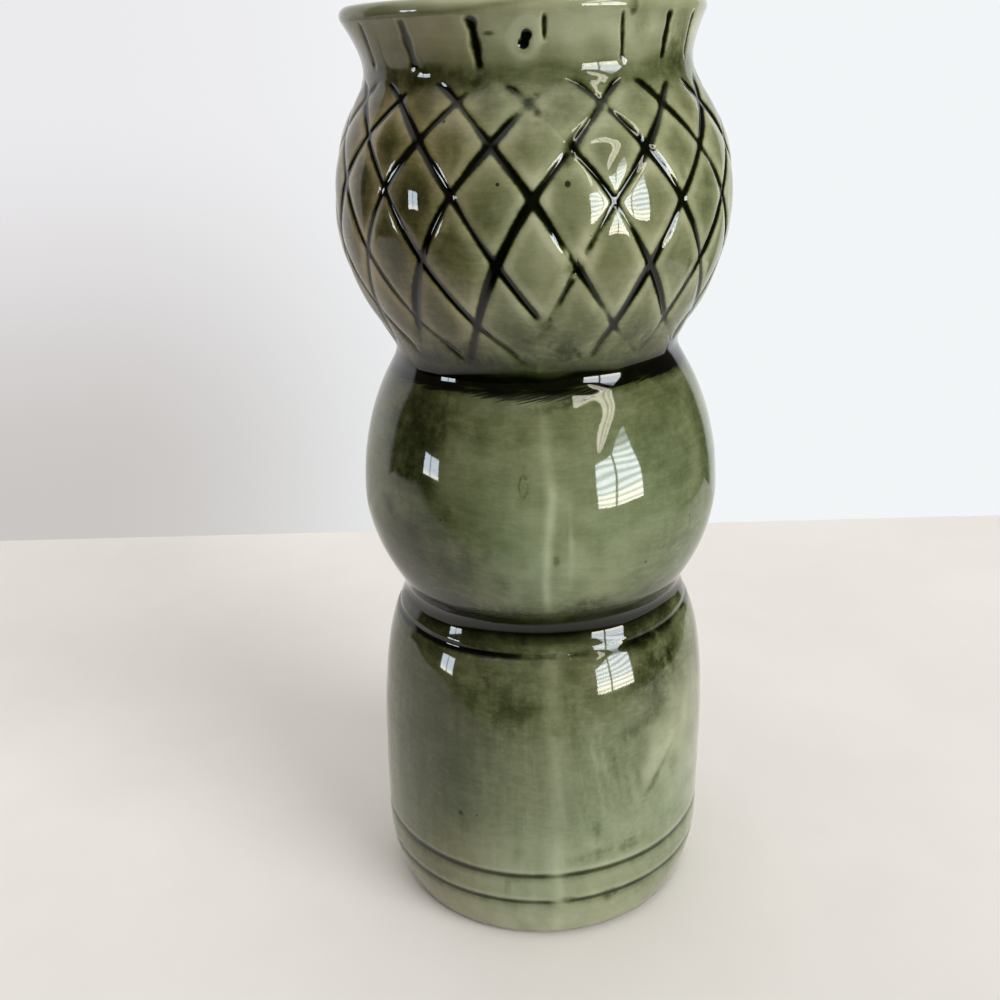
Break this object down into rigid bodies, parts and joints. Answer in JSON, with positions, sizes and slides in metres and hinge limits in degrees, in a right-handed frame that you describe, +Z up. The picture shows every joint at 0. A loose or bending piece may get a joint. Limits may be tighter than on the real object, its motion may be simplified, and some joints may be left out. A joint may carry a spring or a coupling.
{
  "type": "ceramic vase",
  "caption": "Tall green-glazed slip-cast vase with a drum foot, a ball, a cross-hatched bulb and a flared collar, hollow and open at the top, standing on a foot ring.",
  "frame": {"origin": "on the surface that the vase stands on, at the middle of its outline seen from above", "axes": "+Z up along the vase's axis, -Y towards the front, where the casting seam runs, +X to the right seen from the front"},
  "size_m": [0.1044, 0.1041, 0.2539],
  "materials": {
    "fired_clay": "bare fired clay, matt and slightly gritty",
    "green_glaze": "glossy half-clear olive to sage green glaze, brushed on in streaks, near black where it pools in cuts and creases",
    "pale_glaze": "glossy pale cream-green glaze over the lip and inside"
  },
  "bodies": {
    "root": {"clay_body": "fired_clay", "green_outer_glaze": "green_glaze", "pale_liner_glaze": "pale_glaze"}
  },
  "joints": []
}
